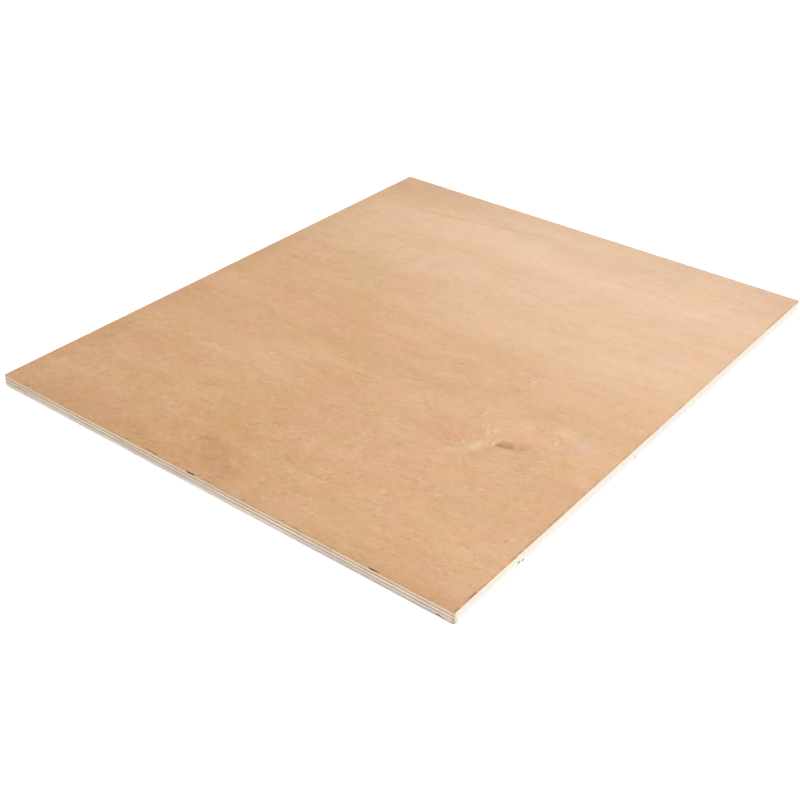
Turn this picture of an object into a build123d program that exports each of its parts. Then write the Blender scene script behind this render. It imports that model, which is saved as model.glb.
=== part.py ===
from build123d import *
import os

# Cut panel of nine-ply plywood, lying flat, best face up.
# Millimetres. Origin: middle of the underside. +X along the 600 mm side,
# +Y along the 500 mm side (the way the face grain runs), +Z up.

# ---------------------------------------------------------------- dimensions
LENGTH = 600.0          # along X
WIDTH = 500.0           # along Y
THICKNESS = 12.0        # finished panel
FACE_THICKNESS = 0.3    # each outer decorative veneer
INNER_COUNT = 7         # peeled core plies between the two outer veneers
INNER_THICKNESS = (THICKNESS - 2 * FACE_THICKNESS) / INNER_COUNT   # 1.6286

# Plies from the top down. Grain alternates: the odd inner plies are crossbands.
PLIES = [
    "face_veneer",
    "crossband_1",
    "long_ply_1",
    "crossband_2",
    "core_ply",
    "crossband_3",
    "long_ply_2",
    "crossband_4",
    "back_veneer",
]

# Open core gaps in the sawn edge x = -LENGTH/2, where two strips of a
# crossband were laid short of each other. The strips run along X, so a gap
# does too: (ply, y of one wall, y of the other wall, depth along X,
# y of the closed end).
GAPS_LEFT = [
    ("crossband_1", 8.6, 18.8, 34.0, 10.6),
    ("crossband_1", -182.4, -170.4, 28.0, -180.2),
    ("crossband_4", -240.4, -231.0, 14.0, -235.8),
]

# Splits in the sawn edge y = -WIDTH/2, where a long ply or a crossband lost
# a sliver: (ply, x of one wall, x of the other wall, depth along Y,
# x of the closed end).
GAPS_FRONT = [
    ("crossband_3", -219.8, -217.2, 5.0, -218.2),
    ("long_ply_2", -213.9, -211.5, 18.0, -212.9),
    ("long_ply_2", -41.2, -39.2, 14.0, -40.4),
]

# The near corner (-X, -Y) is knocked: the lower plies are rounded off there,
# more and more towards the underside. Radius of the upright edge, per ply.
CORNER_RADIUS = {
    "core_ply": 0.5,
    "crossband_3": 1.0,
    "long_ply_2": 1.8,
    "crossband_4": 2.7,
    "back_veneer": 3.4,
}

# ---------------------------------------------------------------- ply heights
levels = {}
top = THICKNESS
for name in PLIES:
    t = FACE_THICKNESS if name in ("face_veneer", "back_veneer") else INNER_THICKNESS
    levels[name] = (top - t, top)
    top -= t


def wedge_left(y0, y1, depth, y_end, z0, z1):
    """Tapering gap open at x = -LENGTH/2, closed at a narrow end."""
    x0 = -LENGTH / 2
    half = abs(y1 - y0) * 0.09
    points = [
        (x0 - 2.0, y0),
        (x0, y0),
        (x0 + depth * 0.45, y0 + (y_end - half - y0) * 0.55),
        (x0 + depth, y_end - half),
        (x0 + depth, y_end + half),
        (x0 + depth * 0.4, y1 + (y_end + half - y1) * 0.35),
        (x0, y1),
        (x0 - 2.0, y1),
    ]
    face = make_face(Polyline(*points, close=True))
    return extrude(Plane.XY.offset(z0) * face, amount=z1 - z0)


def wedge_front(x0, x1, depth, x_end, z0, z1):
    """Tapering split open at y = -WIDTH/2, closed at a narrow end."""
    y0 = -WIDTH / 2
    half = abs(x1 - x0) * 0.12
    points = [
        (x0, y0 - 2.0),
        (x0, y0),
        (x_end - half, y0 + depth),
        (x_end + half, y0 + depth),
        (x1, y0),
        (x1, y0 - 2.0),
    ]
    face = make_face(Polyline(*points, close=True))
    return extrude(Plane.XY.offset(z0) * face, amount=z1 - z0)


# ---------------------------------------------------------------- the plies
plies = {}
for name in PLIES:
    z0, z1 = levels[name]
    body = Pos(0, 0, (z0 + z1) / 2) * Box(LENGTH, WIDTH, z1 - z0)
    radius = CORNER_RADIUS.get(name)
    if radius:
        near = [
            e
            for e in body.edges().filter_by(Axis.Z)
            if e.center().X < 0 and e.center().Y < 0
        ]
        body = fillet(near, radius)
    for ply, y0, y1, depth, y_end in GAPS_LEFT:
        if ply == name:
            body = body - wedge_left(y0, y1, depth, y_end, z0, z1)
    for ply, x0, x1, depth, x_end in GAPS_FRONT:
        if ply == name:
            body = body - wedge_front(x0, x1, depth, x_end, z0, z1)
    plies[name] = body.solid()

# ---------------------------------------------------------------- output
os.makedirs("parts", exist_ok=True)
for name, solid in plies.items():
    solid.label = name
    export_step(solid, f"parts/{name}.step")
    box = solid.bounding_box()
    print(f"{name:12s} z {box.min.Z:7.4f} .. {box.max.Z:7.4f}  volume {solid.volume / 1000:8.2f} cm3")
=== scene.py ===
import math

import bpy
import numpy as np
from mathutils import Matrix, Vector


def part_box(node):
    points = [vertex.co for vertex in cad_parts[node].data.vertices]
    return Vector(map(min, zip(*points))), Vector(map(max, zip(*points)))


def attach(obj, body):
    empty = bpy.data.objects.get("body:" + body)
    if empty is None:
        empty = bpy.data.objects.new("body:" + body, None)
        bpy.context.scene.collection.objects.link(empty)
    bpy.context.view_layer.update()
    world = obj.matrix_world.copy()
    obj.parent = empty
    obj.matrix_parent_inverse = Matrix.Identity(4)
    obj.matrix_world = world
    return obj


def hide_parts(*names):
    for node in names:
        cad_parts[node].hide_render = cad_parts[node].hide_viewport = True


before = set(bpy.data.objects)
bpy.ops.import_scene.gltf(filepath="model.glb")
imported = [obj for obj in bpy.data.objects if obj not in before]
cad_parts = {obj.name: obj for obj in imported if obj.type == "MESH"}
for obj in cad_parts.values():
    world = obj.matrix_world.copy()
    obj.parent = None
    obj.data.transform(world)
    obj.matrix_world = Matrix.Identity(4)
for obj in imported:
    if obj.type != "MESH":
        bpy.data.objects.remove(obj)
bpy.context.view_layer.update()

scene = bpy.context.scene

# ------------------------------------------------------------------ numbers
# Millimetres here; meshes are written in metres.
LENGTH, WIDTH, THICK = 600.0, 500.0, 12.0
HX, HY = LENGTH / 2, WIDTH / 2
ORDER = [
    "face_veneer", "crossband_1", "long_ply_1", "crossband_2", "core_ply",
    "crossband_3", "long_ply_2", "crossband_4", "back_veneer",
]
LEVEL = {}
for _n in ORDER:
    _lo, _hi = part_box(_n)
    LEVEL[_n] = (_lo.z * 1000.0, _hi.z * 1000.0)

# Open core gaps (ply: y of one wall, y of the other, depth, y of the closed end)
GAPS_LEFT = {
    "crossband_1": [(8.6, 18.8, 34.0, 10.6), (-182.4, -170.4, 28.0, -180.2)],
    "crossband_4": [(-240.4, -231.0, 14.0, -235.8)],
}
GAPS_FRONT = {
    "crossband_3": [(-219.8, -217.2, 5.0, -218.2)],
    "long_ply_2": [(-213.9, -211.5, 18.0, -212.9), (-41.2, -39.2, 14.0, -40.4)],
}
CORNER_RADIUS = {
    "core_ply": 0.5, "crossband_3": 1.0, "long_ply_2": 1.8,
    "crossband_4": 2.7, "back_veneer": 3.4,
}
SPACING = 0.7           # of the points round a ply's sawn edge


# ------------------------------------------------------------------ camera
def make_camera():
    focal_px = 1260.4
    right = Vector((0.6133219, -0.7896065, 0.0189139))
    down = Vector((-0.4161453, -0.3434061, -0.8419592))
    ahead = Vector((0.6713117, 0.5085211, -0.5392095))
    data = bpy.data.cameras.new("camera")
    data.sensor_fit = "HORIZONTAL"
    data.sensor_width = 36.0
    data.lens = focal_px / 800.0 * 36.0
    data.clip_start, data.clip_end = 0.02, 60.0
    cam = bpy.data.objects.new("camera", data)
    m = Matrix.Identity(4)
    for i in range(3):
        m[i][0], m[i][1], m[i][2] = right[i], -down[i], -ahead[i]
    m.translation = Vector((-0.8532625, -0.6161845, 0.6112695))
    cam.matrix_world = m
    scene.collection.objects.link(cam)
    scene.camera = cam


make_camera()


# ------------------------------------------------------------------ noise for the meshes
def smooth_noise(s, wavelength, seed, period=None):
    """Value noise in -1..1 along s (millimetres), the same on every run."""
    rng = np.random.default_rng(seed)
    table = rng.uniform(-1, 1, 8192)
    t = s / wavelength
    i = np.floor(t).astype(int)
    f = t - i
    f = f * f * (3 - 2 * f)
    return table[i % 8192] * (1 - f) + table[(i + 1) % 8192] * f


def row_noise(s, v, wave_s, wave_v, seed):
    """Value noise in -1..1 over (s, v): s along the edge, v across the ply."""
    t = v / wave_v
    i = int(math.floor(t))
    f = t - i
    f = f * f * (3 - 2 * f)
    a = smooth_noise(s, wave_s, seed * 1000 + i)
    b = smooth_noise(s, wave_s, seed * 1000 + i + 1)
    return a * (1 - f) + b * f


# ------------------------------------------------------------------ outlines
# How each open gap closes towards one face of its ply, so that its mouth is a
# ragged wedge: (y or x ends when narrow, which height is narrow: 0 bottom, 1 top)
NARROW_LEFT = {
    ("crossband_1", 8.6): ((9.8, 16.4), 0.0),
    ("crossband_1", -182.4): ((-176.6, -172.0), 0.0),
    ("crossband_4", -240.4): ((-237.0, -234.6), 1.0),
}


def ply_polygon(name, h=None):
    """Corner points of a ply's plan, anticlockwise from above, starting at the near corner.

    h is the height in the ply, 0 to 1; without it the plan is the widest one.
    """
    r = CORNER_RADIUS.get(name, 0.0)
    pts = []
    if r:
        for k in range(0, 9):
            a = math.pi + (math.pi / 2) * k / 8
            pts.append((-HX + r + r * math.cos(a), -HY + r + r * math.sin(a)))
    else:
        pts.append((-HX, -HY))
    for x0, x1, depth, xe in sorted(GAPS_FRONT.get(name, [])):
        half = abs(x1 - x0) * 0.12
        pts += [(x0, -HY), (xe - half, -HY + depth), (xe + half, -HY + depth), (x1, -HY)]
    pts += [(HX, -HY), (HX, HY), (-HX, HY)]
    for y0, y1, depth, ye in sorted(GAPS_LEFT.get(name, []), reverse=True):
        half = abs(y1 - y0) * 0.09
        a0, a1 = y0, y1
        if h is not None:
            (n0, n1), narrow_at = NARROW_LEFT[(name, y0)]
            f = (1 - abs(h - narrow_at)) ** 1.3
            a0, a1 = y0 + (n0 - y0) * f, y1 + (n1 - y1) * f
        pts += [
            (-HX, a1),
            (-HX + depth * 0.4, a1 + (ye + half - a1) * 0.35),
            (-HX + depth, ye + half),
            (-HX + depth, ye - half),
            (-HX + depth * 0.45, a0 + (ye - half - a0) * 0.55),
            (-HX, a0),
        ]
    return pts


def resample(pts, spacing, like=None):
    """Points along a closed outline; like gives the outline whose counts are used."""
    out = []
    n = len(pts)
    like = like or pts
    for i in range(n):
        p, q = np.array(pts[i]), np.array(pts[(i + 1) % n])
        length = math.dist(like[i], like[(i + 1) % n])
        k = max(1, int(math.ceil(length / spacing)))
        for j in range(k):
            out.append(p + (q - p) * (j / k))
    return np.array(out)


def outward(points):
    ahead = np.roll(points, -1, 0) - points
    behind = points - np.roll(points, 1, 0)
    ahead /= np.linalg.norm(ahead, axis=1)[:, None]
    behind /= np.linalg.norm(behind, axis=1)[:, None]
    t = ahead + behind
    t /= np.maximum(np.linalg.norm(t, axis=1), 1e-9)[:, None]
    return np.stack([t[:, 1], -t[:, 0]], 1)


def chips(along, seed, count, length, depth, skip=()):
    """Inward bites along a straight edge: a ragged notch of each length and depth."""
    rng = np.random.default_rng(seed)
    out = np.zeros_like(along)
    lo, hi = along.min(), along.max()
    for _ in range(count):
        c = rng.uniform(lo + 4, hi - 4)
        half = rng.uniform(*length) / 2
        d = rng.uniform(*depth)
        lean = rng.uniform(-0.5, 0.5)
        t = (along - c) / half
        shape = np.clip(1 - np.abs(t - lean * (1 - t * t)), 0, 1) ** 0.6
        shape[np.abs(t) > 1] = 0
        out = np.maximum(out, d * shape)
    return out


def sides_of(points):
    """Masks of the four sawn sides, and the distance inside the sheet."""
    x, y = points[:, 0], points[:, 1]
    left, right = np.abs(x + HX) < 1e-3, np.abs(x - HX) < 1e-3
    front, back = np.abs(y + HY) < 1e-3, np.abs(y - HY) < 1e-3
    return left, right, front, back


def veneer_bites(points, seed):
    """How far the thin veneer is broken back from the sawn edge."""
    left, right, front, back = sides_of(points)
    bite = np.zeros(len(points))
    # across the grain: short splinters torn out; along it: long shallow slivers
    for mask, axis, count, length, depth, s in (
        (front, 0, 46, (0.8, 3.0), (0.15, 0.75), 1),
        (back, 0, 40, (0.8, 3.2), (0.15, 0.9), 2),
        (left, 1, 14, (3.0, 11.0), (0.10, 0.35), 3),
        (right, 1, 26, (1.5, 8.0), (0.15, 0.75), 4),
    ):
        along = points[mask, axis]
        bite[mask] = np.maximum(bite[mask], chips(along, seed + s, count, length, depth))
    return bite


def ply_mesh(name, kind, seed):
    z0, z1 = LEVEL[name]
    points = resample(ply_polygon(name), SPACING)
    n = len(points)
    normal = outward(points)
    left, right, front, back = sides_of(points)
    on_edge = left | right | front | back
    s = np.concatenate([[0], np.cumsum(np.linalg.norm(np.diff(points, axis=0), axis=1))])
    # which way the grain shows on each side: 1 where the fibres end at the saw cut
    if kind == "cross":
        ends = (left | right).astype(float)
    else:
        ends = (front | back).astype(float)
    inside = (~on_edge).astype(float)

    # the saw's own wander, shared by all plies, and this ply's own stand
    wander = 0.035 * smooth_noise(s_shared(points), 60.0, 11) + 0.012 * smooth_noise(s_shared(points), 7.0, 12)
    stand = 0.02 * smooth_noise(s, 23.0, seed + 5)

    thin = name in ("face_veneer", "back_veneer")
    if thin:
        heights = [0.0, 0.3, 0.62, 0.85, 1.0]
        tuck = [0.02, 0.0, 0.0, 0.02, 0.07]
        if name == "back_veneer":
            heights = [1 - h for h in reversed(heights)]
            tuck = list(reversed(tuck))
    else:
        heights = [0.0, 0.045, 0.14, 0.32, 0.5, 0.68, 0.86, 0.955, 1.0]
        tuck = [0.075, 0.02, 0.0, 0.0, 0.0, 0.0, 0.0, 0.02, 0.075]

    bite = veneer_bites(points, seed) if thin else np.zeros(n)
    if name == "back_veneer":
        # broken away under the flat void beside the near corner
        torn = np.clip(1 - np.abs((points[:, 1] + 235.8) / 5.6), 0, 1) ** 0.5
        bite = np.maximum(bite, np.where(left, 0.9 * torn, 0.0))
    if not thin:
        # small torn bits at a ply's upper or lower border
        nip_low = 0.16 * np.clip(smooth_noise(s, 1.9, seed + 21) - 0.72, 0, 1) / 0.28 * (0.4 + 0.6 * ends)
        nip_high = 0.16 * np.clip(smooth_noise(s, 2.3, seed + 22) - 0.72, 0, 1) / 0.28 * (0.4 + 0.6 * ends)
    rows = []
    widest = ply_polygon(name)
    for h, t in zip(heights, tuck):
        plan = resample(ply_polygon(name, h), SPACING, widest) if name in GAPS_LEFT else points
        rough_end = 0.030 * row_noise(s, h * 1.63, 0.9, 0.35, seed + 31) + 0.022 * row_noise(s, h * 1.63, 3.1, 0.9, seed + 32)
        rough_side = 0.010 * row_noise(s, h * 1.63, 5.0, 0.22, seed + 33) + 0.008 * row_noise(s, h * 1.63, 17.0, 0.5, seed + 34)
        rough_hole = 0.12 * row_noise(s, h * 1.63, 1.6, 0.6, seed + 35)
        d = wander + stand - t
        d += ends * rough_end + (1 - ends) * (1 - inside) * rough_side + inside * rough_hole
        if not thin:
            d -= nip_low * max(0.0, 1 - h * 3.2) + nip_high * max(0.0, 1 - (1 - h) * 3.2)
        d -= bite * (0.8 + 0.2 * h if name == "face_veneer" else 1.0 - 0.2 * h)
        xy = plan + normal * d[:, None]
        z = np.full(n, z0 + (z1 - z0) * h)
        rows.append(np.column_stack([xy, z]))
    verts = np.concatenate(rows) / 1000.0
    faces = []
    m = len(heights)
    i = np.arange(n)
    j = (i + 1) % n
    for k in range(m - 1):
        a, b = k * n, (k + 1) * n
        faces += np.stack([a + i, a + j, b + j, b + i], 1).tolist()
    side_count = len(faces)
    faces.append(list(range(n - 1, -1, -1)))
    faces.append(list(range((m - 1) * n, m * n)))
    mesh = bpy.data.meshes.new(name + "_wood")
    mesh.from_pydata(verts.tolist(), [], faces)
    smooth = np.zeros(len(faces), bool)
    smooth[:side_count] = True
    mesh.polygons.foreach_set("use_smooth", smooth)
    mesh.validate()
    mesh.update()
    obj = bpy.data.objects.new(name + "_wood", mesh)
    scene.collection.objects.link(obj)
    return obj


def s_shared(points):
    """A run length round the sheet that every ply agrees on."""
    x, y = points[:, 0], points[:, 1]
    left, right, front, back = sides_of(points)
    s = np.where(front, x + HX, 0.0)
    s = np.where(right, LENGTH + y + HY, s)
    s = np.where(back, LENGTH + WIDTH + HX - x, s)
    s = np.where(left, 2 * LENGTH + WIDTH + HY - y, s)
    return s


# ------------------------------------------------------------------ node writing
class Tree:
    """Short names for the shader nodes used below. Lengths are millimetres."""

    def __init__(self, name):
        self.mat = bpy.data.materials.new(name)
        self.mat.use_nodes = True
        self.nt = self.mat.node_tree
        self.nt.nodes.clear()
        self.out = self.nt.nodes.new("ShaderNodeOutputMaterial")
        self.bsdf = self.nt.nodes.new("ShaderNodeBsdfPrincipled")
        self.nt.links.new(self.bsdf.outputs[0], self.out.inputs["Surface"])
        coord = self.nt.nodes.new("ShaderNodeTexCoord")
        self.p = self.vec("MULTIPLY", coord.outputs["Object"], (1000.0, 1000.0, 1000.0))
        split = self.nt.nodes.new("ShaderNodeSeparateXYZ")
        self.link(self.p, split.inputs[0])
        self.x, self.y, self.z = split.outputs[0], split.outputs[1], split.outputs[2]
        self.sx, self.sy = self.x, self.y     # where spots and strokes are placed

    def link(self, a, b):
        self.nt.links.new(a, b)

    def put(self, socket, value):
        if isinstance(value, (int, float)):
            socket.default_value = value
        elif isinstance(value, tuple):
            if len(value) == 3 and len(socket.default_value) == 4:
                value = (*value, 1.0)
            socket.default_value = value
        else:
            self.link(value, socket)

    def math(self, op, a, b=None, c=None, clamp=False):
        n = self.nt.nodes.new("ShaderNodeMath")
        n.operation, n.use_clamp = op, clamp
        self.put(n.inputs[0], a)
        if b is not None:
            self.put(n.inputs[1], b)
        if c is not None:
            self.put(n.inputs[2], c)
        return n.outputs[0]

    def add(self, a, b): return self.math("ADD", a, b)
    def sub(self, a, b): return self.math("SUBTRACT", a, b)
    def mul(self, a, b): return self.math("MULTIPLY", a, b)
    def mad(self, a, b, c): return self.math("MULTIPLY_ADD", a, b, c)
    def least(self, a, b): return self.math("MINIMUM", a, b)
    def most(self, a, b): return self.math("MAXIMUM", a, b)
    def size(self, a): return self.math("ABSOLUTE", a)

    def total(self, *terms):
        out = terms[0]
        for t in terms[1:]:
            out = self.add(out, t)
        return out

    def vec(self, op, a, b=None):
        n = self.nt.nodes.new("ShaderNodeVectorMath")
        n.operation = op
        self.put(n.inputs[0], a)
        if b is not None:
            if op == "SCALE":
                self.put(n.inputs["Scale"], b)
            else:
                self.put(n.inputs[1], b)
        return n.outputs["Value"] if op in ("LENGTH", "DOT_PRODUCT", "DISTANCE") else n.outputs[0]

    def join(self, x, y, z):
        n = self.nt.nodes.new("ShaderNodeCombineXYZ")
        for s, v in zip(n.inputs, (x, y, z)):
            self.put(s, v)
        return n.outputs[0]

    def step(self, value, low, high, a=0.0, b=1.0):
        """a below low, b above high, smooth between."""
        n = self.nt.nodes.new("ShaderNodeMapRange")
        n.interpolation_type = "SMOOTHSTEP"
        n.clamp = False       # it is held to its range anyway
        self.put(n.inputs["Value"], value)
        for k, v in zip(("From Min", "From Max", "To Min", "To Max"), (low, high, a, b)):
            self.put(n.inputs[k], v)
        return n.outputs[0]

    def ramp(self, value, low, high, a=0.0, b=1.0, clamp=True):
        n = self.nt.nodes.new("ShaderNodeMapRange")
        n.clamp = clamp
        self.put(n.inputs["Value"], value)
        for k, v in zip(("From Min", "From Max", "To Min", "To Max"), (low, high, a, b)):
            self.put(n.inputs[k], v)
        return n.outputs[0]

    def noise(self, sizes, detail=2.0, rough=0.5, shift=(0.0, 0.0, 0.0), at=None, distort=0.0):
        """Noise in 0..1 about 0.5, whose lumps are about sizes long in x, y and z."""
        place = at if at is not None else self.p
        scaled = self.vec("MULTIPLY", place, tuple(1.0 / v for v in sizes))
        moved = self.vec("ADD", scaled, shift)
        n = self.nt.nodes.new("ShaderNodeTexNoise")
        n.noise_dimensions = "3D"
        n.inputs["Scale"].default_value = 1.0
        n.inputs["Detail"].default_value = detail
        n.inputs["Roughness"].default_value = rough
        n.inputs["Distortion"].default_value = distort
        self.link(moved, n.inputs["Vector"])
        return n.outputs[0]

    def even(self, sizes, amount, **k):
        """Noise about 0, from about -amount to amount."""
        return self.mad(self.noise(sizes, **k), 2.0 * amount * 1.6, -amount * 1.6)

    def mix(self, fac, a, b):
        """Colours are carried as vectors all the way, which keeps the shader small."""
        n = self.nt.nodes.new("ShaderNodeMix")
        n.data_type = "VECTOR"
        self.put(n.inputs[0], fac)
        self.put(n.inputs[4], a)
        self.put(n.inputs[5], b)
        return n.outputs[1]

    def tint(self, colour, by):
        """colour times a number."""
        return self.vec("SCALE", colour, by)

    def spot(self, cx, cy, rx, ry, turn=0.0, soft=1.0, ragged=None):
        """1 at (cx, cy), 0 past an ellipse of half-axes rx, ry turned by turn degrees."""
        u, v = self.sub(self.sx, cx), self.sub(self.sy, cy)
        c, s = math.cos(math.radians(turn)), math.sin(math.radians(turn))
        a = self.add(self.mul(u, c / rx), self.mul(v, s / rx))
        b = self.add(self.mul(u, -s / ry), self.mul(v, c / ry))
        r = self.math("SQRT", self.add(self.mul(a, a), self.mul(b, b)))
        if ragged is not None:
            r = self.add(r, ragged)
        return self.step(r, 1.0 - soft, 1.0, 1.0, 0.0)

    def bump(self, height, distance, strength=1.0, under=None):
        n = self.nt.nodes.new("ShaderNodeBump")
        n.inputs["Strength"].default_value = strength
        n.inputs["Distance"].default_value = distance
        self.link(height, n.inputs["Height"])
        if under is not None:
            self.link(under, n.inputs["Normal"])
        return n.outputs[0]


# ------------------------------------------------------------------ the tan face veneer
KNOT = (-106.5, -162.5)
TAN = (0.480, 0.2700, 0.1300)
TAN_PALE = (0.562, 0.350, 0.1920)
TAN_DEEP = (0.345, 0.178, 0.078)


def stroke(t, at, points, half, soft):
    """1 along a bent line through points, fading to 0 from half to half + soft away."""
    near = None
    for (ax, ay), (bx, by) in zip(points, points[1:]):
        dx, dy = bx - ax, by - ay
        k = 1.0 / (dx * dx + dy * dy)
        from_a = t.vec("SUBTRACT", at, (ax, ay, 0.0))
        h = t.least(t.most(t.mul(t.vec("DOT_PRODUCT", from_a, (dx, dy, 0.0)), k), 0.0), 1.0)
        off = t.vec("SUBTRACT", from_a, t.join(t.mul(h, dx), t.mul(h, dy), 0.0))
        d = t.vec("LENGTH", off)
        near = d if near is None else t.least(near, d)
    return t.step(near, half, half + soft, 1.0, 0.0)


def shade(t, colour, mask, amount, ratio):
    """colour times ratio (red, green, blue) where mask is 1, by amount."""
    return t.mix(t.mul(mask, amount), colour, t.vec("MULTIPLY", colour, ratio))


def knot_figure(t, colour):
    """The small knot low on the left: its dark eye, the pale patches and the grain swept past it."""
    jx = t.even((3.4, 3.4, 5.0), 0.7, detail=2.0, shift=(1.0, 5.0, 0.0))
    jy = t.even((3.4, 3.4, 5.0), 0.7, detail=2.0, shift=(6.0, 1.0, 0.0))
    at = t.join(t.add(t.sx, jx), t.add(t.sy, jy), 0.0)
    rag = t.even((5.0, 5.0, 5.0), 0.22, detail=2.0, shift=(1.0, 5.0, 0.0))
    beige, sand = (1.05, 1.25, 1.30), (1.045, 1.14, 1.16)
    cream, tan = (1.13, 1.22, 1.32), (0.90, 0.85, 0.77)

    # soft patches first: greenish beige to the left and right, pinkish below, brown under the eye
    colour = shade(t, colour, t.spot(-124.5, -141.0, 17.0, 11.5, turn=-32.0, soft=0.85, ragged=rag), 1.0, beige)
    colour = shade(t, colour, t.spot(-140.0, -130.5, 11.0, 6.5, turn=-36.0, soft=0.95, ragged=rag), 0.70, beige)
    colour = shade(t, colour, t.spot(-86.0, -142.5, 22.0, 10.0, turn=-6.0, soft=1.0, ragged=rag), 0.95, sand)
    colour = shade(t, colour, t.spot(-72.0, -161.0, 17.0, 13.0, turn=-20.0, soft=1.0, ragged=rag), 1.0, sand)
    colour = shade(t, colour, t.spot(-59.0, -191.0, 17.0, 15.0, soft=1.0, ragged=rag), 0.90, sand)
    colour = shade(t, colour, t.spot(-120.0, -168.0, 13.0, 11.0, soft=0.95, ragged=rag), 0.90, (1.08, 1.11, 1.20))
    colour = shade(t, colour, t.spot(-101.5, -175.5, 12.0, 14.0, turn=20.0, soft=1.0, ragged=rag), 0.95, (0.87, 0.81, 0.72))
    colour = shade(t, colour, t.spot(-108.0, -192.0, 18.0, 12.0, soft=1.0, ragged=rag), 0.60, tan)
    colour = shade(t, colour, t.spot(-147.0, -137.5, 8.0, 7.0, soft=0.95, ragged=rag), 0.70, (1.03, 0.93, 0.86))
    colour = shade(t, colour, t.spot(-135.5, -149.5, 7.0, 6.0, soft=0.95, ragged=rag), 0.70, (1.03, 0.93, 0.86))
    colour = shade(t, colour, t.spot(-115.0, -121.0, 22.0, 9.0, soft=1.0, ragged=rag), 0.55, (0.98, 0.92, 0.90))

    # pale grain sweeping up and to the right from the patch, dark hairlines between
    torn = t.step(t.noise((3.2, 3.2, 9.0), detail=2.0, rough=0.6, shift=(5.0, 2.0, 0.0)), 0.34, 0.62, 0.35, 1.0)
    for points, half, soft, k, ratio in (
        (((-118.0, -143.5), (-110.0, -145.0), (-101.5, -141.8), (-95.0, -137.4), (-89.0, -133.0)), 0.3, 2.3, 0.66, cream),
        (((-116.0, -149.0), (-108.0, -147.4), (-99.0, -145.0), (-92.0, -144.4)), 0.3, 2.0, 0.62, cream),
        (((-114.5, -153.6), (-108.0, -151.8)), 0.3, 1.6, 0.70, cream),
        (((-113.4, -134.4), (-107.0, -130.6)), 0.3, 2.0, 0.42, cream),
        (((-110.0, -139.4), (-102.0, -137.0), (-94.0, -132.0), (-85.5, -127.0), (-76.0, -121.0)), 0.3, 2.2, 0.52, cream),
        (((-128.0, -142.4), (-121.0, -143.2), (-113.5, -144.8)), 0.5, 2.4, 0.55, cream),
        (((-113.0, -147.4), (-104.5, -145.4), (-97.0, -141.6), (-90.0, -136.6)), 0.1, 1.3, 0.62, tan),
        (((-112.0, -151.6), (-104.0, -149.4), (-97.0, -147.8)), 0.1, 1.3, 0.62, tan),
        (((-112.0, -140.0), (-105.0, -139.2), (-98.0, -135.8), (-91.0, -133.4)), 0.1, 1.2, 0.45, tan),
        (((-150.0, -150.6), (-146.0, -148.4), (-142.6, -148.0)), 0.2, 0.9, 0.50, tan),
        (((-148.0, -154.6), (-143.0, -152.4), (-140.8, -150.2)), 0.2, 0.9, 0.50, tan),
        (((-146.0, -158.6), (-141.5, -157.0), (-139.4, -154.4)), 0.2, 0.9, 0.45, tan),
        (((-50.0, -55.0), (-30.0, -92.0), (-10.0, -130.0)), 0.5, 4.0, 0.22, cream),
        (((-72.0, -118.0), (-58.0, -140.0), (-36.0, -176.0)), 0.5, 5.0, 0.16, cream),
        (((-158.0, -112.0), (-146.0, -132.0), (-136.0, -152.0)), 0.5, 5.0, 0.16, tan),
    ):
        colour = shade(t, colour, t.mul(stroke(t, at, points, half, soft), torn), k, ratio)

    # the eye: slanted, darkest along its left side, running out in brown to the right
    eye = t.spot(-106.4, -162.8, 6.6, 9.6, turn=17.0, soft=0.38, ragged=rag)
    colour = shade(t, colour, eye, 0.96, (0.760, 0.715, 0.600))
    dark = stroke(t, at, ((-110.4, -157.4), (-106.6, -169.0)), 0.5, 3.2)
    colour = shade(t, colour, dark, 0.50, (0.70, 0.68, 0.64))
    cut = stroke(t, at, ((-111.4, -156.0), (-109.0, -160.0)), 0.2, 1.2)
    colour = shade(t, colour, cut, 0.44, (0.56, 0.54, 0.50))
    for points, half, soft, k in (
        (((-111.8, -153.6), (-109.4, -152.8)), 0.5, 1.2, 0.80),
        (((-126.6, -131.8), (-124.6, -131.4)), 0.5, 1.6, 0.80),
        (((-142.2, -136.4), (-141.0, -135.6)), 0.3, 1.2, 0.80),
        (((-78.4, -194.4), (-74.4, -193.2)), 0.6, 2.2, 0.70),
        (((-82.6, -103.2), (-81.2, -104.4)), 0.3, 1.4, 0.55),
        (((-99.0, -160.0), (-97.4, -159.4)), 0.2, 1.0, 0.50),
    ):
        colour = shade(t, colour, stroke(t, at, points, half, soft), k, (1.14, 1.26, 1.40))
    speck = stroke(t, at, ((-149.0, -117.4), (-147.6, -119.4)), 0.3, 1.0)
    return shade(t, colour, speck, 0.70, (0.66, 0.62, 0.56))


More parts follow.
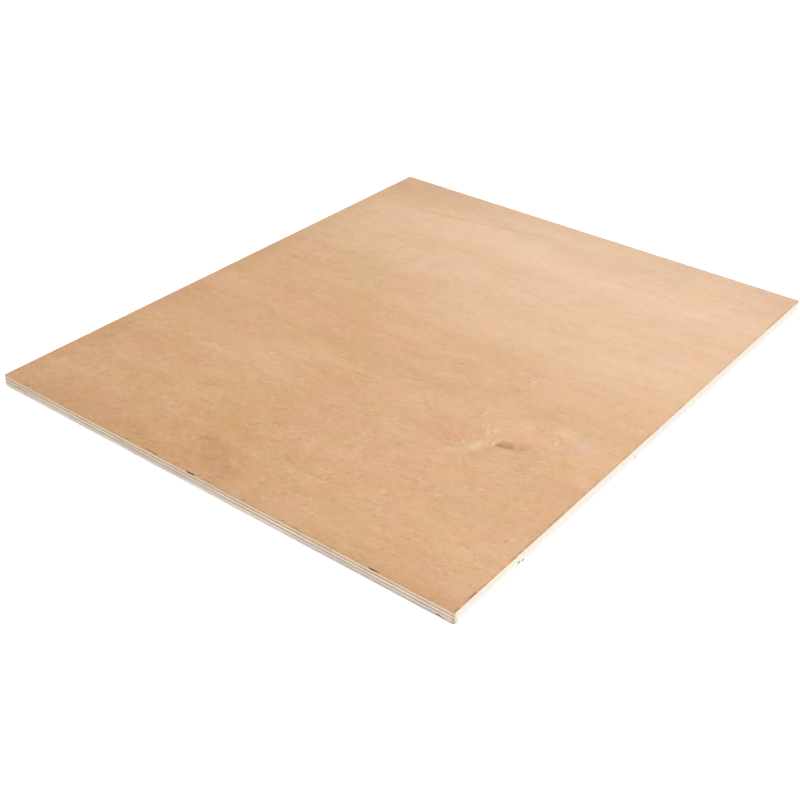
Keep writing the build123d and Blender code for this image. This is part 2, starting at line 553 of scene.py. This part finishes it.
def left_figure(t, colour):
    """Pale curls with thin shadows, where the grain turns on the left of the face."""
    jx = t.even((3.4, 3.4, 5.0), 0.7, detail=2.0, shift=(2.0, 9.0, 0.0))
    jy = t.even((3.4, 3.4, 5.0), 0.7, detail=2.0, shift=(9.0, 2.0, 0.0))
    at = t.join(t.add(t.sx, jx), t.add(t.sy, jy), 0.0)
    torn = t.step(t.noise((2.6, 2.6, 4.0), detail=2.0, shift=(4.0, 1.0, 0.0)), 0.34, 0.56, 0.25, 1.0)
    cream, tan = (1.13, 1.22, 1.32), (0.90, 0.85, 0.77)
    for points, half, soft, k, ratio in (
        (((-216.1, 97.7), (-211.1, 87.8), (-212.6, 70.3)), 0.3, 1.5, 0.55, cream),
        (((-217.4, 86.0), (-216.4, 70.0)), 0.3, 1.6, 0.45, tan),
        (((-233.0, 102.7), (-247.4, 97.5), (-263.1, 87.0)), 0.4, 2.4, 0.34, cream),
        (((-232.5, 89.5), (-244.7, 84.2), (-259.3, 79.9)), 0.4, 2.4, 0.28, cream),
        (((-223.8, 68.9), (-236.0, 66.3), (-245.8, 63.5)), 0.4, 2.2, 0.40, cream),
        (((-213.1, 40.9), (-221.1, 26.2)), 0.4, 1.8, 0.40, cream),
        (((-212.2, 62.2), (-207.7, 56.9)), 0.3, 1.4, 0.45, tan),
        (((-178.8, 97.6), (-172.8, 82.2)), 0.4, 2.0, 0.30, cream),
    ):
        colour = shade(t, colour, t.mul(stroke(t, at, points, half, soft), torn), k, ratio)
    return colour


def marks(t, colour, rag):
    """Small blemishes of the photographed face: place, half-axes, turn, amount, ratio."""
    dim, lit = (0.74, 0.70, 0.64), (1.16, 1.26, 1.36)
    for cx, cy, rx, ry, turn, k, c in (
        (-272.0, 16.0, 30.0, 34.0, 20.0, 0.40, dim),
        (-284.0, -12.0, 24.0, 18.0, -10.0, 0.26, dim),
        (-258.0, 36.0, 22.0, 14.0, 35.0, 0.16, dim),
        (46.0, 214.0, 3.5, 26.0, 8.0, 0.55, dim),
        (40.0, 238.0, 4.0, 12.0, 20.0, 0.40, dim),
        (152.0, 148.0, 5.0, 4.0, 0.0, 0.46, dim),
        (176.0, 112.0, 2.6, 8.0, 32.0, 0.55, dim),
        (62.0, 74.0, 4.0, 4.5, 0.0, 0.55, dim),
        (20.0, 87.0, 4.0, 5.0, 0.0, 0.30, dim),
        (-140.0, 182.0, 2.0, 2.4, 0.0, 0.75, dim),
        (-141.0, 158.0, 3.0, 18.0, 0.0, 0.30, dim),
        (-95.0, 6.0, 2.6, 9.0, 6.0, 0.45, dim),
        (-38.0, 74.0, 6.0, 14.0, 28.0, 0.30, dim),
        (-104.0, 131.0, 4.0, 5.0, 30.0, 0.36, dim),
        (5.0, -122.0, 3.0, 14.0, 10.0, 0.32, dim),
        (170.0, -205.0, 12.0, 22.0, 10.0, 0.22, dim),
        (-180.0, 236.0, 30.0, 12.0, 0.0, 0.18, dim),
        (-2.0, 18.0, 6.0, 4.0, 0.0, 0.42, lit),
        (-5.0, 60.0, 80.0, 150.0, 0.0, 1.0, (1.040, 1.026, 1.026)),
        (-110.0, -50.0, 60.0, 60.0, 0.0, 1.0, (1.030, 1.016, 1.010)),
        (-20.0, -95.0, 17.0, 11.0, 0.0, 0.80, (1.0, 1.09, 0.90)),
        (-25.0, -105.0, 8.0, 7.0, 0.0, 0.80, (1.02, 1.05, 1.30)),
        (-58.0, -111.0, 9.0, 11.0, 0.0, 0.70, (1.0, 1.10, 0.98)),
        (-68.0, -216.0, 18.0, 14.0, 0.0, 0.80, (0.97, 1.07, 1.24)),
        (-106.0, -218.0, 30.0, 18.0, 0.0, 0.80, (1.0, 1.0, 0.80)),
        (-16.0, -172.0, 10.0, 22.0, 0.0, 0.50, (1.01, 1.08, 1.10)),
        (66.0, 196.0, 7.0, 5.0, 0.0, 0.42, lit),
        (-43.0, -62.0, 5.0, 20.0, 18.0, 0.36, lit),
        (-150.0, -66.0, 2.2, 40.0, 0.0, 0.22, lit),
        (-27.0, 201.0, 5.0, 3.0, 30.0, 0.36, lit),
        (-240.0, 93.0, 28.0, 3.2, 24.0, 0.28, lit),
        (-222.0, 104.0, 2.4, 16.0, -12.0, 0.24, lit),
        (-174.0, 112.0, 12.0, 12.0, 0.0, 0.30, (1.02, 1.16, 1.22)),
        (-4.0, 62.0, 20.0, 20.0, -20.0, 0.34, (1.02, 1.18, 1.24)),
        (14.0, 170.0, 16.0, 22.0, 0.0, 0.24, (1.0, 1.14, 1.18)),
        (66.0, 216.0, 26.0, 20.0, 10.0, 0.30, (0.97, 1.06, 1.00)),
        (-234.0, -166.0, 40.0, 30.0, 0.0, 0.22, (1.0, 1.0, 0.84)),
        (-150.0, 30.0, 24.0, 30.0, 0.0, 0.20, (1.0, 1.0, 0.86)),
    ):
        colour = shade(t, colour, t.spot(cx, cy, rx, ry, turn=turn, soft=0.95, ragged=rag), k, c)
    return colour


def face_material(name, front=True, seed=0.0, base=TAN, pale=TAN_PALE, deep=TAN_DEEP):
    t = Tree(name)
    # slow sideways wander of the grain, which runs along Y
    w1 = t.even((260.0, 420.0, 90.0), 9.0, detail=2.0, shift=(3.1 + seed, 7.7, 0.4))
    w2 = t.even((46.0, 130.0, 40.0), 1.6, detail=2.0, shift=(13.1 + seed, 1.7, 5.4))
    gx = t.total(t.x, w1, w2)
    if front:
        # the grain parts round the knot
        u, v = t.sub(t.x, KNOT[0]), t.sub(t.y, KNOT[1])
        uu, vv = t.mul(u, 1 / 26.0), t.mul(v, 1 / 34.0)
        near = t.math("EXPONENT", t.mul(t.add(t.mul(uu, uu), t.mul(vv, vv)), -1.0))
        gx = t.add(gx, t.mul(t.mul(u, near), -0.72))
        gx = t.add(gx, t.mul(t.mul(v, near), 0.35))
    grain = t.join(gx, t.y, t.z)
    # marks sit in the wood a little unevenly too
    t.sx = t.add(t.x, t.even((12.0, 15.0, 10.0), 0.8, detail=2.0, at=grain, shift=(seed + 11.0, 2.3, 0.0)))
    t.sy = t.add(t.y, t.even((12.0, 15.0, 10.0), 0.8, detail=2.0, at=grain, shift=(seed + 12.0, 7.3, 0.0)))

    bands = t.even((34.0, 420.0, 60.0), 1.0, detail=3.0, rough=0.55, at=grain, shift=(seed, 2.0, 0.0))
    streaks = t.even((6.5, 130.0, 20.0), 1.0, detail=3.0, rough=0.6, at=grain, shift=(seed + 4.0, 0.3, 0.0))
    fibres = t.even((1.1, 17.0, 6.0), 1.0, detail=3.0, rough=0.6, at=grain, shift=(seed + 9.0, 5.3, 0.0))
    fine = t.even((0.42, 6.0, 3.0), 1.0, detail=2.0, rough=0.6, at=grain, shift=(seed + 2.0, 8.3, 0.0))
    cloud = t.even((120.0, 170.0, 60.0), 1.0, detail=2.5, rough=0.5, shift=(seed + 1.0, 4.3, 0.0))
    mottle = t.even((14.0, 22.0, 20.0), 1.0, detail=3.0, rough=0.62, at=grain, shift=(seed + 6.0, 9.3, 0.0), distort=0.6)
    slant = t.join(
        t.add(t.mul(gx, 0.940), t.mul(t.y, 0.342)),
        t.add(t.mul(gx, -0.342), t.mul(t.y, 0.940)),
        t.z,
    )
    crinkle = t.even((3.4, 6.2, 6.0), 1.0, detail=2.0, rough=0.54, at=slant, shift=(seed + 8.0, 1.3, 0.0), distort=1.2)

    # flecks are crisp where the figure is lively and nearly absent where it is quiet
    lively = t.step(t.noise((17.0, 21.0, 30.0), detail=2.5, rough=0.6, shift=(seed + 41.0, 2.3, 0.0), distort=0.4), 0.42, 0.66, 0.25, 1.9)
    fleck = t.even((2.5, 6.2, 5.0), 1.0, detail=1.0, rough=0.45, at=slant, shift=(seed + 43.0, 3.3, 0.0), distort=1.0)
    flecks = t.mul(t.mul(fleck, t.size(fleck)), lively)
    crinkles = t.mul(crinkle, t.mad(t.mul(t.size(crinkle), lively), 0.110, 0.066))
    across = t.ramp(t.x, -250.0, 160.0, 1.24, 0.66) if front else 1.0

    slow = t.add(t.mul(bands, 0.064), t.mul(cloud, 0.074))
    level = t.total(
        slow, t.mul(streaks, 0.034), t.mul(mottle, 0.092),
        t.mul(t.total(t.mul(fibres, t.mad(lively, 0.020, 0.014)), t.mul(fine, 0.014), crinkles, t.mul(flecks, 0.105)), across),
    )
    # hue: pinker here, yellower there
    hue = t.even((64.0, 84.0, 30.0), 1.0, detail=4.5, rough=0.70, at=grain, shift=(seed + 15.0, 1.3, 0.0))
    sat = t.even((40.0, 50.0, 30.0), 1.0, detail=4.0, rough=0.70, shift=(seed + 18.0, 6.3, 0.0))
    # dark wood is redder, light wood yellower and greyer
    tinted = t.join(
        t.total(1.0, t.mul(hue, 0.040), t.mul(level, 0.74)),
        t.total(1.0, t.mul(hue, -0.044), t.mul(sat, 0.024), t.mul(level, 1.04)),
        t.total(1.0, t.mul(hue, 0.026), t.mul(sat, 0.150), t.mul(level, 1.76), t.mul(slow, 0.40)),
    )
    # open pores: short dark dashes along the grain
    poreline = t.noise((0.52, 4.4, 3.0), detail=1.0, rough=0.4, at=grain, shift=(seed + 21.0, 3.3, 0.0))
    pores = t.step(poreline, 0.605, 0.69)
    longpore = t.step(t.noise((0.75, 13.0, 3.0), detail=1.0, rough=0.4, at=grain, shift=(seed + 31.0, 6.3, 0.0)), 0.65, 0.72)
    where = t.step(t.noise((40.0, 90.0, 30.0), detail=2.0, shift=(seed + 3.0, 3.0, 0.0)), 0.36, 0.62, 0.45, 1.0)
    pores = t.mul(t.mul(t.most(pores, t.mul(longpore, 0.8)), where), t.mul(t.mad(lively, 0.26, 0.42), across))

    warmth = t.even((90.0, 200.0, 60.0), 1.0, detail=2.0, shift=(seed + 5.0, 7.0, 0.0))
    colour = t.mix(t.ramp(warmth, -1.0, 1.0, 0.0, 0.40), base, pale)
    if front:
        # a broad paler band right of the middle, and a darker strip along the right edge
        sway = t.add(t.x, t.even((90.0, 120.0, 60.0), 26.0, detail=2.0, shift=(2.0, 6.0, 0.0)))
        band = t.mul(t.step(sway, 10.0, 120.0), t.step(sway, 205.0, 262.0, 1.0, 0.10))
        colour = shade(t, colour, band, 1.0, (1.055, 1.115, 1.23))
        colour = shade(t, colour, t.step(sway, 225.0, 290.0), 1.0, (0.925, 0.93, 0.905))
    colour = t.vec("MULTIPLY", colour, tinted)
    colour = t.mix(t.mul(pores, 0.42), colour, deep)

    if front:
        rag = t.even((9.0, 9.0, 9.0), 0.26, detail=3.0, rough=0.6, shift=(1.0, 5.0, 0.0))
        colour = knot_figure(t, colour)
        colour = left_figure(t, colour)
        colour = marks(t, colour, rag)
        # one long thin streak from (232, 178) to (262, 26), slightly bowed
        run = t.least(t.most(t.mad(t.sy, 1.0 / 148.0, -30.0 / 148.0), 0.0), 1.0)
        bow = t.add(t.mad(run, -31.0, 262.0), t.mul(t.mul(run, t.sub(1.0, run)), -14.0))
        off = t.size(t.sub(t.sx, bow))
        along = t.mul(t.step(t.sy, 18.0, 44.0), t.step(t.sy, 182.0, 236.0, 1.0, 0.15))
        broken = t.step(t.noise((30.0, 24.0, 10.0), detail=1.0, shift=(9.0, 9.0, 0.0)), 0.30, 0.55, 0.45, 1.0)
        thread = t.mul(t.mul(t.step(off, 0.5, 2.3, 1.0, 0.0), along), broken)
        colour = shade(t, colour, thread, 0.80, (0.80, 0.76, 0.72))

    # a faint darker rim along the cut edges, partly a dark glue line and partly painted shade under the frayed lip;
    # beside the front cut, dark broken dashes
    dx, dy = t.sub(HX, t.size(t.x)), t.sub(HY, t.size(t.y))
    rim_noise = t.even((7.0, 7.0, 9.0), 0.45, detail=2.0, shift=(2.0, 2.0, 0.0))
    rim_glue_and_shade = t.step(t.add(t.least(dx, dy), rim_noise), 0.10, 1.10, 1.0, 0.0)
    colour = shade(t, colour, rim_glue_and_shade, 0.05, (0.70, 0.66, 0.62))
    if front:
        # a hand's breadth of duller wood along the other three borders
        dull = t.step(t.least(dx, t.sub(HY, t.y)), 2.0, 34.0, 1.0, 0.0)
        colour = shade(t, colour, dull, 1.0, (0.952, 0.942, 0.925))
        colour = shade(t, colour, t.spot(-300.0, 190.0, 90.0, 190.0, soft=1.0), 0.8, (0.945, 0.93, 0.91))
    beside = t.step(t.add(t.add(t.y, HY), rim_noise), 0.9, 2.8, 1.0, 0.0)
    patchy = t.step(t.noise((5.0, 40.0, 9.0), detail=3.0, rough=0.65, shift=(6.0, 0.0, 0.0)), 0.40, 0.64, 0.0, 1.0)
    fading = t.ramp(t.x, -290.0, 120.0, 0.80, 0.44)
    dashes = t.mul(patchy, fading)
    if front:
        for cx, half, k in (
            (-297.0, 1.5, 0.75), (-277.5, 4.0, 1.30), (-227.0, 2.5, 0.70), (-203.0, 6.0, 0.75), (-162.0, 7.0, 0.65),
            (-107.0, 3.0, 0.65), (-55.0, 4.0, 0.55), (-17.0, 2.5, 0.75), (39.0, 4.0, 0.45), (232.0, 9.0, 0.70), (254.0, 9.0, 0.62),
        ):
            dashes = t.most(dashes, t.step(t.size(t.sub(t.sx, cx)), half, half + 2.0, k, 0.0))
    colour = shade(t, colour, t.mul(beside, dashes), 0.66, (0.50, 0.44, 0.40))
    if front:
        dashes = None
        for cy, half, k in ((59.0, 6.0, 1.0), (87.5, 1.0, 0.8), (218.0, 0.8, 0.8), (-101.0, 0.8, 0.7), (-5.0, 3.5, 0.5), (-45.5, 0.6, 0.7), (-87.5, 0.6, 0.7)):
            one = t.step(t.size(t.sub(t.sy, cy)), half, half + 1.6, k, 0.0)
            dashes = one if dashes is None else t.most(dashes, one)
        beside = t.step(t.add(t.add(t.x, HX), rim_noise), 0.5, 1.7, 1.0, 0.0)
        colour = shade(t, colour, t.mul(beside, dashes), 0.80, (0.50, 0.44, 0.38))
    # its cut edge is a little browner than its face; what is bare over a core gap is painted dark, as painted shade in
    # the recess
    if front:
        edge = t.step(t.z, 11.90, 11.96, 1.0, 0.0)
    else:
        edge = t.step(t.z, 0.04, 0.10)
    if front:
        colour = shade(t, colour, edge, 0.30, (0.84, 0.78, 0.72))
    else:
        # the back veneer's cut edge is painted pale: painted light from the bright floor below
        colour = t.mix(edge, colour, (0.860, 0.820, 0.780))
        # painted shade on the knocked near corner's edge
        corner_shade = t.mul(edge, t.step(t.most(t.add(t.x, HX), t.add(t.y, HY)), 2.0, 5.0, 1.0, 0.0))
        colour = shade(t, colour, corner_shade, 1.0, (0.66, 0.65, 0.65))
    # painted shade where the veneer's underside lies bare over a core gap
    gap_underside_shade = t.mul(edge, t.mul(t.step(t.least(dx, dy), 0.25, 1.1), near_corner(t)))
    colour = t.mix(gap_underside_shade, colour, (0.035, 0.021, 0.012) if front else (0.130, 0.095, 0.085))

    t.link(colour, t.bsdf.inputs["Base Color"])
    rough = t.add(t.mad(pores, 0.16, 0.50), t.add(t.mul(fine, 0.035), t.mul(mottle, 0.03)))
    t.link(rough, t.bsdf.inputs["Roughness"])
    t.bsdf.inputs["Specular IOR Level"].default_value = 0.42
    height = t.total(t.mul(pores, -1.0), t.mul(fine, 0.22), t.mul(fibres, 0.16), t.mul(crinkle, 0.10), t.mul(flecks, 0.35))
    t.link(t.bump(height, 0.00006, 0.55), t.bsdf.inputs["Normal"])
    return t.mat


def near_corner(t):
    """0 at the knocked near corner, whose rounded wall isn't a gap, and 1 elsewhere."""
    return t.step(t.most(t.add(t.x, HX), t.add(t.y, HY)), 3.5, 4.5)


# ------------------------------------------------------------------ the inner plies
def ply_material(name, ply, kind, seed, end_tone, side_tone):
    """kind 'cross': fibres run along X, so they end at the left and right cuts; 'long': along Y."""
    t = Tree(name)
    z0, z1 = LEVEL[ply]
    dx, dy = t.sub(HX, t.size(t.x)), t.sub(HY, t.size(t.y))
    on_x = t.step(t.sub(dy, dx), -0.2, 0.2)          # 1 on the left and right cuts
    ends = on_x if kind == "cross" else t.sub(1.0, on_x)
    run = t.add(t.mul(on_x, t.y), t.mul(t.sub(1.0, on_x), t.x))   # along the cut
    at = t.join(run, t.z, t.mul(on_x, 400.0))

    # fibres seen from the side: long streaks
    s1 = t.even((46.0, 0.42, 90.0), 1.0, detail=3.0, rough=0.6, at=at, shift=(seed, 0.0, 0.0))
    s2 = t.even((9.0, 0.16, 90.0), 1.0, detail=3.0, rough=0.6, at=at, shift=(seed + 3.0, 0.0, 0.0))
    s3 = t.even((70.0, 3.0, 90.0), 1.0, detail=2.0, at=at, shift=(seed + 7.0, 0.0, 0.0))
    m1 = t.even((7.0, 2.0, 90.0), 1.0, detail=3.0, rough=0.65, at=at, shift=(seed + 33.0, 0.0, 0.0))
    lift = t.mad(on_x, 1.6, 1.0)
    side_level = t.total(1.0, t.mul(s1, 0.050), t.mul(s2, 0.06), t.mul(t.total(t.mul(s3, 0.085), t.mul(m1, 0.060)), lift))
    side = t.tint(side_tone, side_level)
    dash = t.step(t.noise((5.0, 0.20, 90.0), detail=1.0, at=at, shift=(seed + 11.0, 0.0, 0.0)), 0.64, 0.72)
    side = t.mix(t.mul(dash, 0.22), side, (0.42, 0.29, 0.18))

    # fibres seen end on: a darker, pitted, cracked surface
    e1 = t.even((0.34, 0.30, 90.0), 1.0, detail=2.0, rough=0.6, at=at, shift=(seed + 1.0, 0.0, 0.0))
    e2 = t.even((2.6, 1.3, 90.0), 1.0, detail=3.0, rough=0.6, at=at, shift=(seed + 2.0, 0.0, 0.0))
    e3 = t.even((38.0, 2.4, 90.0), 1.0, detail=2.0, at=at, shift=(seed + 5.0, 0.0, 0.0))
    rings = t.even((30.0, 0.34, 90.0), 1.0, detail=2.0, at=at, shift=(seed + 8.0, 0.0, 0.0))
    end_level = t.total(1.0, t.mul(e1, 0.10), t.mul(e2, 0.09), t.mul(rings, 0.06), t.mul(t.total(t.mul(e3, 0.110), t.mul(m1, 0.060)), lift))
    end = t.tint(end_tone, end_level)
    # knife checks: fine slanting cracks through the veneer
    slant = t.join(t.mad(t.z, 0.9, run), t.mul(t.z, 0.12), t.mul(on_x, 300.0))
    check = t.step(t.noise((0.9, 1.0, 90.0), detail=2.0, rough=0.7, at=slant, shift=(seed + 13.0, 0.0, 0.0)), 0.655, 0.73)
    some = t.step(t.noise((14.0, 6.0, 90.0), detail=1.0, at=at, shift=(seed + 17.0, 0.0, 0.0)), 0.42, 0.62)
    check = t.mul(check, some)
    end = t.mix(t.mul(check, 0.55), end, (0.20, 0.13, 0.08))
    pits = t.step(t.noise((0.26, 0.24, 90.0), detail=1.0, at=at, shift=(seed + 19.0, 0.0, 0.0)), 0.66, 0.74)
    end = t.mix(t.mul(pits, 0.30), end, (0.30, 0.20, 0.12))

    colour = t.mix(ends, side, end)
    # pinker here, yellower there
    warm = t.even((24.0, 5.0, 90.0), 1.0, detail=3.0, rough=0.6, at=at, shift=(61.0, 0.0, 0.0))
    colour = t.vec("MULTIPLY", colour, t.join(t.mad(warm, 0.030, 1.0), t.mad(warm, -0.016, 1.0), t.mad(warm, 0.030, 1.0)))
    if ply == "crossband_4":
        # greyer towards the near corner; elsewhere paler low down, painted light from the bright floor below
        corner = t.step(t.add(t.y, t.even((900.0, 60.0, 90.0), 50.0, detail=2.0)), -190.0, -20.0, 1.0, 0.0)
        corner = t.mul(corner, t.step(t.x, -60.0, 60.0, 1.0, 0.0))
        colour = shade(t, colour, t.mul(on_x, corner), 1.0, (0.80, 0.785, 0.80))
        # painted light: lighter low on the ply's end
        low = t.mul(t.mul(on_x, t.mad(corner, -0.5, 1.0)), t.step(t.z, 0.35, 1.15, 1.0, 0.0))
        colour = shade(t, colour, low, 1.0, (1.42, 1.44, 1.48))
    if ply in ("core_ply", "crossband_3", "long_ply_2", "crossband_4"):
        # painted shade: the knocked corner's rounded wall is painted grey where it turns away from the light
        corner_shade = t.step(t.most(t.add(t.x, HX), t.add(t.y, HY)), 1.5, 4.5, {"core_ply": 0.3, "crossband_3": 0.7}.get(ply, 1.0), 0.0)
        colour = shade(t, colour, corner_shade, 1.0, (0.72, 0.70, 0.70))
    # glue lines at both faces of the ply
    gap = t.least(t.sub(t.z, z0), t.sub(z1, t.z))
    glue_noise = t.even((7.0, 3.0, 90.0), 0.075, detail=3.0, rough=0.6, at=at, shift=(seed + 23.0, 0.0, 0.0))
    glue = t.step(t.add(gap, glue_noise), 0.030, 0.130, 1.0, 0.0)
    glue_depth = 0.42 if ply != "crossband_4" else 0.16
    colour = t.mix(t.mul(glue, glue_depth), colour, (0.36, 0.235, 0.135))
    # here and there the joint stands open a hair
    joint = t.step(t.noise((1.7, 1.1, 90.0), detail=2.0, rough=0.6, at=at, shift=(seed + 29.0, 0.0, 0.0)), 0.655, 0.72)
    joint = t.mul(joint, t.step(gap, 0.05, 0.22, 1.0, 0.0))
    colour = t.mix(t.mul(joint, 0.75), colour, (0.16, 0.105, 0.065))
    # inside a core gap the wood is painted near-black, painted shade of the recess; just under a chipped veneer it is
    # clean wood
    depth = t.least(dx, dy)
    if ply == "crossband_1":
        lid = t.step(t.z, z1 - 0.02, z1 - 0.005)
        dark = t.mix_value(lid, t.step(depth, 0.1, 0.7), t.step(depth, 2.5, 4.0))
    else:
        dark = t.mul(t.step(depth, 0.1, 0.6), near_corner(t))
    gap_shade_and_fibres = (0.034, 0.020, 0.012)
    if ply in ("crossband_1", "long_ply_1"):
        # brown fibres fill the thin end of the farther gap, and nearly all of the nearer one
        shallow = t.step(depth, 3.0, 9.0, 1.0, 0.0)
        mouth = t.mad(t.add(t.x, HX), -0.757, t.y)
        gap_shade_and_fibres = t.mix(t.mul(t.step(mouth, 15.2, 16.6), shallow), gap_shade_and_fibres, (0.200, 0.110, 0.060))
        gap_shade_and_fibres = t.mix(t.mul(t.step(mouth, 9.8, 11.4, 1.0, 0.0), shallow), gap_shade_and_fibres, (0.420, 0.240, 0.120))
        choked = t.mul(t.step(t.y, -168.0, -165.0, 1.0, 0.0), shallow)
        mid = t.step(t.size(t.add(t.y, 174.6)), 0.8, 4.2, 1.0, 0.0)
        gap_shade_and_fibres = t.mix(choked, gap_shade_and_fibres, t.mix(mid, (0.660, 0.400, 0.165), (0.330, 0.180, 0.055)))
    elif ply in ("long_ply_2", "crossband_4"):
        # the flat void low by the near corner is painted a greyish dark: painted shade
        low_void_shade = t.mul(on_x, t.step(t.y, -228.0, -225.0, 1.0, 0.0))
        gap_shade_and_fibres = t.mix(low_void_shade, gap_shade_and_fibres, (0.130, 0.095, 0.085))
    colour = t.mix(dark, colour, gap_shade_and_fibres)

    t.link(colour, t.bsdf.inputs["Base Color"])
    rough = t.add(0.62, t.add(t.mul(ends, 0.14), t.mul(e2, 0.04)))
    t.link(rough, t.bsdf.inputs["Roughness"])
    t.bsdf.inputs["Specular IOR Level"].default_value = 0.32
    side_h = t.total(t.mul(s2, 0.5), t.mul(s1, 0.3), t.mul(dash, -0.6))
    end_h = t.total(t.mul(e1, 0.5), t.mul(e2, 0.3), t.mul(check, -1.6), t.mul(pits, -0.9))
    saw = t.even((1.7, 60.0, 90.0), 1.0, detail=2.0, at=t.join(t.mad(t.z, 0.12, run), t.z, t.mul(on_x, 200.0)), shift=(3.0, 0.0, 0.0))
    height = t.total(t.mul(ends, end_h), t.mul(t.sub(1.0, ends), side_h), t.mul(saw, 0.7))
    t.link(t.bump(height, 0.00007, 0.8), t.bsdf.inputs["Normal"])
    return t.mat


def mix_value(self, fac, a, b):
    return self.add(self.mul(self.sub(1.0, fac), a), self.mul(fac, b))


Tree.mix_value = mix_value

# ------------------------------------------------------------------ build the plies
# each ply: tone where its fibres end at the cut, tone where they run along it
TONES = {
    "crossband_1": ((0.530, 0.350, 0.209), (0.688, 0.598, 0.490)),
    "long_ply_1": ((0.677, 0.616, 0.528), (0.706, 0.540, 0.388)),
    "crossband_2": ((0.472, 0.337, 0.232), (0.682, 0.635, 0.567)),
    "core_ply": ((0.669, 0.638, 0.583), (0.688, 0.580, 0.467)),
    "crossband_3": ((0.484, 0.388, 0.303), (0.663, 0.645, 0.606)),
    "long_ply_2": ((0.667, 0.655, 0.627), (0.604, 0.535, 0.464)),
    "crossband_4": ((0.592, 0.540, 0.480), (0.723, 0.716, 0.690)),
}
for k, name in enumerate(ORDER):
    thin = name in ("face_veneer", "back_veneer")
    kind = "cross" if name.startswith("crossband") else "long"
    piece = ply_mesh(name, kind, 100 * (k + 1))
    if name == "face_veneer":
        material = face_material("face_veneer_wood")
    elif name == "back_veneer":
        material = face_material("back_veneer_wood", front=False, seed=40.0, base=(0.47, 0.275, 0.145), pale=(0.58, 0.38, 0.225), deep=(0.32, 0.175, 0.085))
    else:
        material = ply_material(name + "_wood", name, kind, 37.0 * (k + 1), *TONES[name])
    piece.data.materials.append(material)
    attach(piece, "root")
    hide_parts(name)

# ------------------------------------------------------------------ floor and light
def make_floor():
    mesh = bpy.data.meshes.new("floor")
    r = 14.0
    mesh.from_pydata([(-r, -r, -0.0004), (r, -r, -0.0004), (r, r, -0.0004), (-r, r, -0.0004)], [], [(0, 1, 2, 3)])
    floor = bpy.data.objects.new("floor", mesh)
    scene.collection.objects.link(floor)
    mat = bpy.data.materials.new("floor")
    mat.use_nodes = True
    b = mat.node_tree.nodes["Principled BSDF"]
    b.inputs["Base Color"].default_value = (0.90, 0.90, 0.895, 1)
    b.inputs["Roughness"].default_value = 0.9
    b.inputs["Specular IOR Level"].default_value = 0.1
    b.inputs["Emission Color"].default_value = (1.0, 1.0, 1.0, 1.0)
    b.inputs["Emission Strength"].default_value = 0.16
    mesh.materials.append(mat)


def area_light(name, place, aim, size, power, colour=(1, 1, 1)):
    data = bpy.data.lights.new(name, "AREA")
    data.shape = "RECTANGLE"
    data.size, data.size_y = size
    data.energy = power
    data.color = colour
    obj = bpy.data.objects.new(name, data)
    obj.location = place
    obj.rotation_mode = "QUATERNION"
    obj.rotation_quaternion = (Vector(aim) - Vector(place)).to_track_quat("-Z", "Y")
    scene.collection.objects.link(obj)
    return obj


make_floor()
world = bpy.data.worlds.new("world")
world.use_nodes = True
scene.world = world
bg = world.node_tree.nodes["Background"]
bg.inputs["Color"].default_value = (1.0, 1.0, 1.0, 1.0)
bg.inputs["Strength"].default_value = 0.70
# a large softbox in front and above, and a dim low one past the right-hand side that greys the polish there
area_light("key", (-0.75, -2.45, 3.6), (0.0, 0.0, 0.0), (2.2, 2.2), 150.0)
area_light("sheen", (3.1, 0.9, 0.7), (0.0, 0.0, 0.0), (2.0, 1.0), 45.0)

scene.view_settings.view_transform = "Standard"
scene.view_settings.look = "None"
scene.view_settings.exposure = 0.0
scene.view_settings.gamma = 1.0
